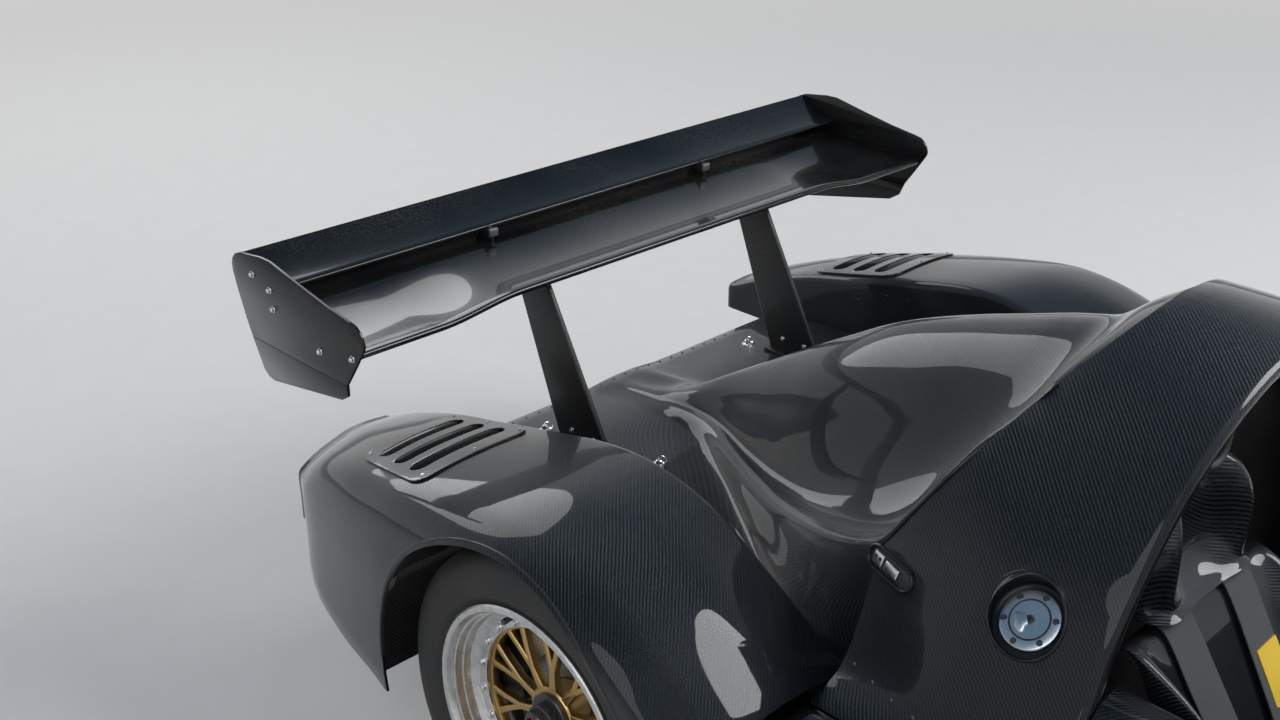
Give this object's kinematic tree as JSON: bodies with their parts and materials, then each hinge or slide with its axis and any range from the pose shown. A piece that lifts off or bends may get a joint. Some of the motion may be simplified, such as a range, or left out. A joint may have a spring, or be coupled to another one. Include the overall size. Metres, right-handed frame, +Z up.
{
  "type": "open-cockpit sports prototype race car",
  "caption": "Open-cockpit sports racing car with carbon-fibre body, arched roll-hoop fairing, rear wing and steerable front wheels.",
  "frame": {"origin": "on the ground below the middle of the car's outer box", "axes": "+Y towards the tail, +X towards the car's left side, +Z up"},
  "size_m": [1.72, 4.13, 1.0173],
  "materials": {
    "body_carbon": "glossy clear-coated carbon-fibre twill, blue-black",
    "wing_carbon": "smooth semi-gloss black composite",
    "structure_carbon": "satin carbon composite",
    "louvre_black": "gloss black panel with louvres",
    "bright_aluminium": "machined aluminium",
    "rim_aluminium": "spun and polished, slightly stained",
    "wheel_gold": "satin gold anodised",
    "tyre_rubber": "slick rubber with scuffs",
    "dark_metal": "cast, satin",
    "satin_black_metal": "satin black paint",
    "seat_carbon": "gloss carbon shell",
    "strap_webbing": "woven grey-black webbing",
    "grip_suede": "suede grip and fine cloth cover",
    "clear_screen": "clear polycarbonate"
  },
  "bodies": {
    "chassis": {"floor": "structure_carbon", "tub": "structure_carbon", "firewall": "structure_carbon", "hoop_fairing": "body_carbon", "rear_clam": "body_carbon", "rear_fender_left": "body_carbon", "rear_fender_right": "body_carbon", "front_fender_left": "body_carbon", "front_fender_right": "body_carbon", "nose": "body_carbon", "cowl": "body_carbon", "coamings": "body_carbon", "sidepod_left": "body_carbon", "sidepod_right": "body_carbon", "engine_and_gearbox": "dark_metal", "wing_main_plane": "wing_carbon", "wing_flap": "wing_carbon", "endplates": "wing_carbon", "wing_pylons": "satin_black_metal", "fuel_cap": "bright_aluminium", "latches": "bright_aluminium", "louvre_panels": "louvre_black", "headlamp_covers": "clear_screen", "mirrors": "body_carbon", "windscreen": "clear_screen", "dashboard": "structure_carbon", "seat": "seat_carbon", "headrest": "seat_carbon", "harness": "strap_webbing", "rear_uprights": "satin_black_metal", "wishbones": "satin_black_metal"},
    "wheel_front_left": {"tyre_front_left": "tyre_rubber", "rim_front_left": "rim_aluminium", "wheel_centre_front_left": "wheel_gold"},
    "wheel_front_right": {"tyre_front_right": "tyre_rubber", "rim_front_right": "rim_aluminium", "wheel_centre_front_right": "wheel_gold"},
    "wheel_rear_left": {"tyre_rear_left": "tyre_rubber", "rim_rear_left": "rim_aluminium", "wheel_centre_rear_left": "wheel_gold"},
    "wheel_rear_right": {"tyre_rear_right": "tyre_rubber", "rim_rear_right": "rim_aluminium", "wheel_centre_rear_right": "wheel_gold"},
    "knuckle_left": {"knuckle_front_left": "satin_black_metal"},
    "knuckle_right": {"knuckle_front_right": "satin_black_metal"},
    "steering": {"steering_wheel": "grip_suede"}
  },
  "joints": [
    {"name": "steer_left", "type": "hinge", "parent": "chassis", "child": "knuckle_left", "pos_m": [0.6027, -1.181, 0.29], "axis": [0, 0, 1], "range_deg": [-16, 16]},
    {"name": "steer_right", "type": "hinge", "parent": "chassis", "child": "knuckle_right", "pos_m": [-0.6027, -1.181, 0.29], "axis": [0, 0, 1], "range_deg": [-16, 16]},
    {"name": "wheel_front_left_spin", "type": "hinge", "parent": "knuckle_left", "child": "wheel_front_left", "pos_m": [0.67, -1.181, 0.29], "axis": [1, 0, 0], "continuous": true},
    {"name": "wheel_front_right_spin", "type": "hinge", "parent": "knuckle_right", "child": "wheel_front_right", "pos_m": [-0.67, -1.181, 0.29], "axis": [1, 0, 0], "continuous": true},
    {"name": "wheel_rear_left_spin", "type": "hinge", "parent": "chassis", "child": "wheel_rear_left", "pos_m": [0.667, 1.269, 0.305], "axis": [1, 0, 0], "continuous": true},
    {"name": "wheel_rear_right_spin", "type": "hinge", "parent": "chassis", "child": "wheel_rear_right", "pos_m": [-0.667, 1.269, 0.305], "axis": [1, 0, 0], "continuous": true},
    {"name": "steering_wheel_turn", "type": "hinge", "parent": "chassis", "child": "steering", "pos_m": [-0.19, -0.4117, 0.44], "axis": [0, 0.9781, 0.2079], "range_deg": [-160, 160]}
  ],
  "couplings": [
    {"joint": "steer_right", "follows": "steer_left", "ratio": 1},
    {"joint": "steering_wheel_turn", "follows": "steer_left", "ratio": 10}
  ]
}
